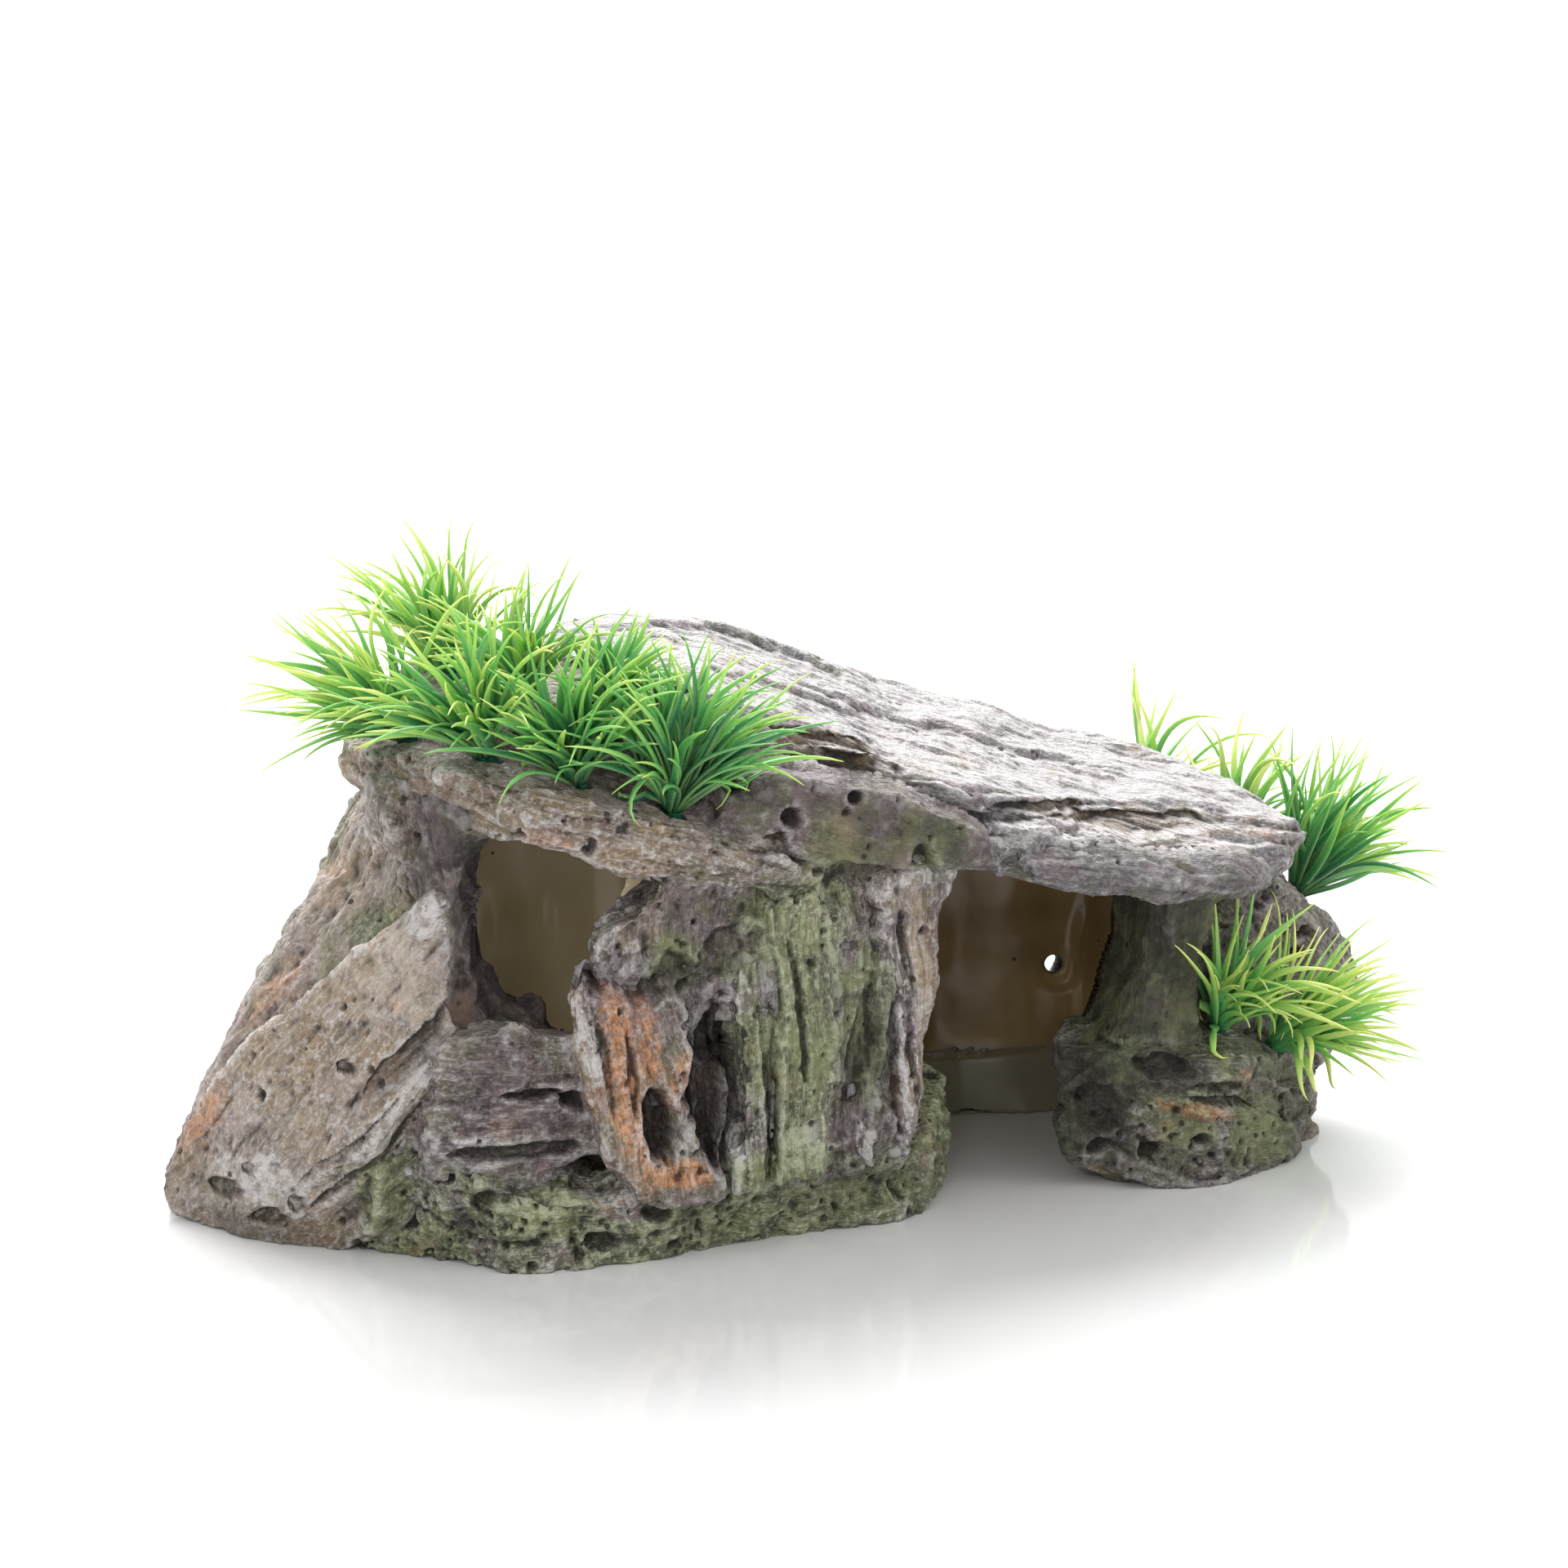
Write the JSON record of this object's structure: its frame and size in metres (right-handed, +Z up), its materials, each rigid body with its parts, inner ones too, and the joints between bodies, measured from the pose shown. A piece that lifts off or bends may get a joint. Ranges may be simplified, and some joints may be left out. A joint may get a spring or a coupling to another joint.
{
  "type": "resin cave ornament",
  "caption": "Hollow painted resin rock shelter for an aquarium, with a sloping roof slab, a shelf, standing stones, two mouths and plastic grass sprigs.",
  "frame": {"origin": "centre of the footprint of the whole box, on the surface the ornament stands on", "axes": "+Z up, +X along the ornament from the high end with most of the grass to the low end, -Y towards the open side with the two mouths"},
  "size_m": [0.2752, 0.1002, 0.1399],
  "materials": {
    "slate_paint": "cast filled polyester resin painted as grey-mauve slate with white dry-brushed ridges, matte",
    "mauve_paint": "cast filled polyester resin painted dark mauve-brown with grey highlights, matte",
    "ochre_paint": "cast filled polyester resin painted mauve-grey with ochre and rust washes, matte",
    "moss_paint": "cast filled polyester resin, pitted, with an olive-green moss wash, matte",
    "rust_paint": "cast filled polyester resin with orange rust streaks over mauve, matte",
    "bare_resin": "cast filled polyester resin: smooth, unpainted amber-olive inside, painted rock outside, semi-matte",
    "grass_plastic": "injection-moulded polyethylene, dark green at the root to yellow-green tips, glossy"
  },
  "bodies": {
    "root": {"roof_slab": "slate_paint", "roof_leaf": "slate_paint", "shelf_slab": "ochre_paint", "shelf_knob": "ochre_paint", "left_shoulder": "ochre_paint", "brow_block": "mauve_paint", "left_leaf_front": "ochre_paint", "left_leaf_back": "mauve_paint", "left_jamb": "mauve_paint", "base_left": "moss_paint", "sill_block": "mauve_paint", "orange_flake": "rust_paint", "thin_ridge": "moss_paint", "green_ridge": "moss_paint", "edge_flake": "mauve_paint", "pillar_core": "mauve_paint", "base_right": "moss_paint", "right_foot": "moss_paint", "right_column": "mauve_paint", "right_rear_rock": "mauve_paint", "rear_wall": "bare_resin", "rear_skirt": "bare_resin", "grass_plug_01": "grass_plastic", "grass_tuft_01": "grass_plastic", "grass_plug_02": "grass_plastic", "grass_tuft_02": "grass_plastic", "grass_plug_03": "grass_plastic", "grass_tuft_03": "grass_plastic", "grass_plug_04": "grass_plastic", "grass_tuft_04": "grass_plastic", "grass_plug_05": "grass_plastic", "grass_tuft_05": "grass_plastic", "grass_plug_06": "grass_plastic", "grass_tuft_06": "grass_plastic", "grass_plug_07": "grass_plastic", "grass_tuft_07": "grass_plastic", "grass_plug_08": "grass_plastic", "grass_tuft_08": "grass_plastic", "grass_plug_09": "grass_plastic", "grass_tuft_09": "grass_plastic", "grass_plug_10": "grass_plastic", "grass_tuft_10": "grass_plastic", "grass_plug_11": "grass_plastic", "grass_tuft_11": "grass_plastic", "grass_plug_12": "grass_plastic", "grass_tuft_12": "grass_plastic"}
  },
  "joints": []
}
